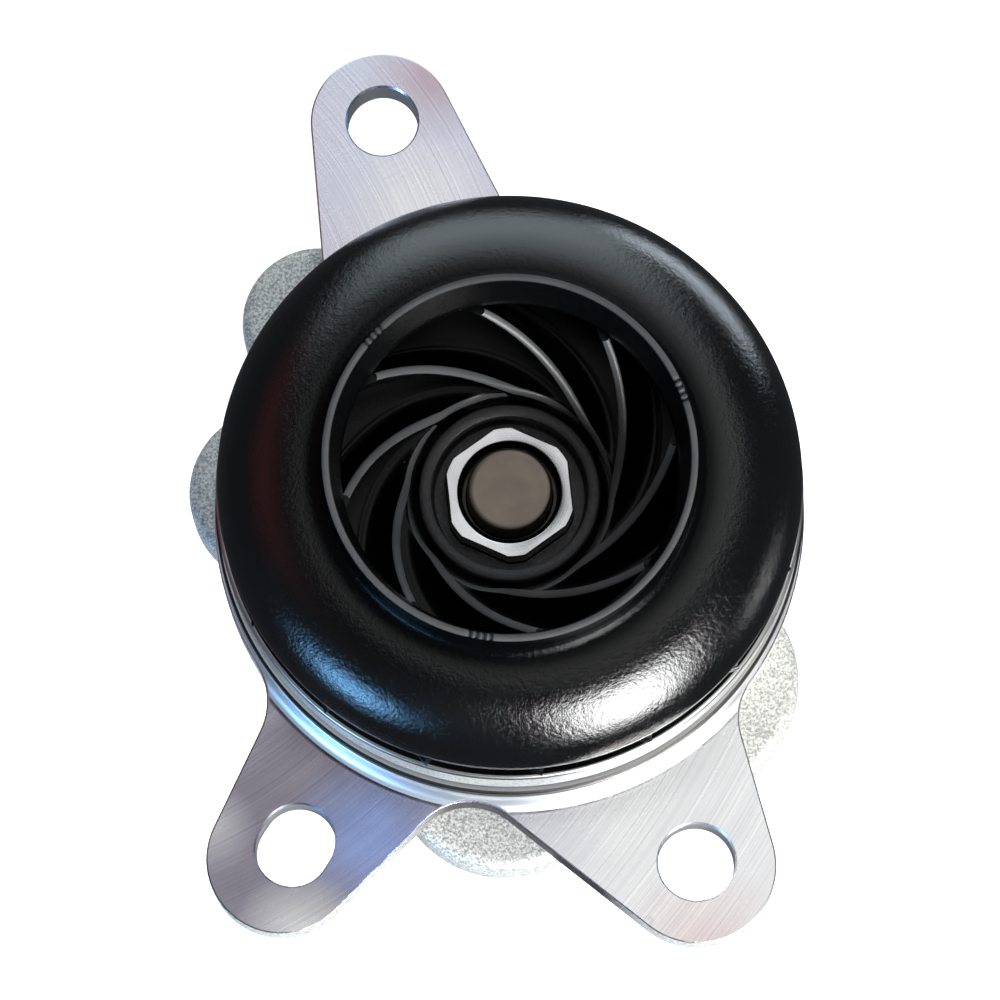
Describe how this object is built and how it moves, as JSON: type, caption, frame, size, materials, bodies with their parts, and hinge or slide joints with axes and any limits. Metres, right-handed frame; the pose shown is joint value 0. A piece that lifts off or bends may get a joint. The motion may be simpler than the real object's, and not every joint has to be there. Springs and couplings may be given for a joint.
{
  "type": "engine coolant pump",
  "caption": "Engine coolant pump: cast housing with three bolt ears, shaft bearing and face seal inside, closed black impeller on top and a drive hub below.",
  "frame": {"origin": "middle of the shaft's drive end, in the plane of the hub face that the pulley bolts to", "axes": "+Z along the shaft from the drive hub to the impeller's eye; +Y towards the single upper ear's side; +X completes the frame, with the lower right ear at +X"},
  "size_m": [0.0898, 0.1321, 0.106],
  "materials": {
    "cast_aluminium": "face-milled plate with fine curved tool marks, shot-blasted cast rear",
    "impeller_black": "glossy moulded black plastic with slight orange peel, satin dark grey hub",
    "insert_steel": "bright turned",
    "shaft_steel": "ground end face, warm grey, with fine turning rings",
    "hub_steel": "dark phosphated pressed steel",
    "bearing_steel": "ground and polished",
    "cage_polymer": "natural glass-filled polyamide",
    "seal_rubber": "satin black nitrile",
    "seal_case_steel": "pressed stainless, slightly golden",
    "spring_steel": "drawn wire",
    "seal_carbon": "lapped carbon-graphite",
    "seal_ceramic": "lapped alumina"
  },
  "bodies": {
    "housing": {"pump_body": "cast_aluminium", "body_o_ring": "seal_rubber", "bearing_outer_ring": "bearing_steel", "bearing_end_seal_rear": "seal_rubber", "bearing_end_seal_front": "seal_rubber", "seal_case": "seal_case_steel", "seal_bellows": "seal_rubber", "seal_spring": "spring_steel"},
    "rotor": {"shaft": "shaft_steel", "drive_hub": "hub_steel", "slinger_ring": "seal_rubber", "seal_mating_ring": "seal_ceramic", "seal_seat_cup": "seal_rubber", "impeller_back": "impeller_black", "impeller_shroud": "impeller_black", "hex_insert": "insert_steel"},
    "rear_ball_row": {"bearing_cage_rear": "cage_polymer", "bearing_ball_rear_1": "bearing_steel", "bearing_ball_rear_2": "bearing_steel", "bearing_ball_rear_3": "bearing_steel", "bearing_ball_rear_4": "bearing_steel", "bearing_ball_rear_5": "bearing_steel", "bearing_ball_rear_6": "bearing_steel", "bearing_ball_rear_7": "bearing_steel", "bearing_ball_rear_8": "bearing_steel"},
    "front_ball_row": {"bearing_cage_front": "cage_polymer", "bearing_ball_front_1": "bearing_steel", "bearing_ball_front_2": "bearing_steel", "bearing_ball_front_3": "bearing_steel", "bearing_ball_front_4": "bearing_steel", "bearing_ball_front_5": "bearing_steel", "bearing_ball_front_6": "bearing_steel", "bearing_ball_front_7": "bearing_steel", "bearing_ball_front_8": "bearing_steel"},
    "sliding_seal": {"seal_carbon_ring": "seal_carbon"}
  },
  "joints": [
    {"name": "rotor_spin", "type": "hinge", "parent": "housing", "child": "rotor", "pos_m": [0, 0, 0.033], "axis": [0, 0, -1], "continuous": true},
    {"name": "rear_row_orbit", "type": "hinge", "parent": "housing", "child": "rear_ball_row", "pos_m": [0, 0, 0.0255], "axis": [0, 0, -1], "continuous": true},
    {"name": "front_row_orbit", "type": "hinge", "parent": "housing", "child": "front_ball_row", "pos_m": [0, 0, 0.041], "axis": [0, 0, -1], "continuous": true},
    {"name": "seal_face_float", "type": "slide", "parent": "housing", "child": "sliding_seal", "axis": [0, 0, 1], "range_m": [-0.001, 0], "stiffness_N_per_m": 9000, "springref_m": 0.003, "deforming": ["seal_spring", "seal_bellows"]}
  ],
  "couplings": [
    {"joint": "rear_row_orbit", "follows": "rotor_spin", "ratio": 0.3515},
    {"joint": "front_row_orbit", "follows": "rotor_spin", "ratio": 0.3515}
  ]
}
